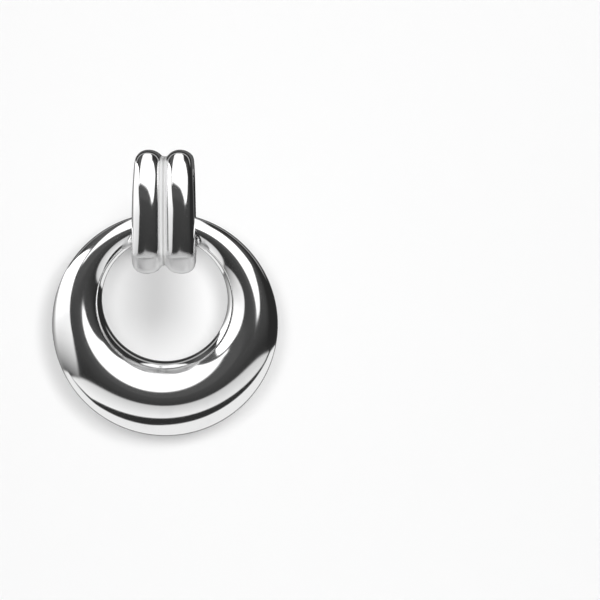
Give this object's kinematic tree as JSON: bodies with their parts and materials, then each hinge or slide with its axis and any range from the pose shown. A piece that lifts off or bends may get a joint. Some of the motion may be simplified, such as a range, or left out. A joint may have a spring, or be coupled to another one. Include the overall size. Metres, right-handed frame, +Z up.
{
  "type": "hoop drop earring",
  "caption": "Polished graduated hoop that hangs and swings in a two-lobed bail, worn on a straight ear post.",
  "frame": {"origin": "middle of the post's foot, on the face that rests against the ear lobe", "axes": "+Z up as worn, -Y towards the earring's front, +X across it, and the ear post runs along +Y"},
  "size_m": [0.032, 0.0212, 0.041],
  "materials": {
    "polished_silver": "mirror polished silver"
  },
  "bodies": {
    "bail": {"bail": "polished_silver", "ear_post": "polished_silver"},
    "hoop": {"hoop": "polished_silver"}
  },
  "joints": [
    {"name": "hoop_swing", "type": "hinge", "parent": "bail", "child": "hoop", "pos_m": [0, -0.0047, -0.0057], "axis": [1, 0, 0], "range_deg": [-90, 90]}
  ]
}
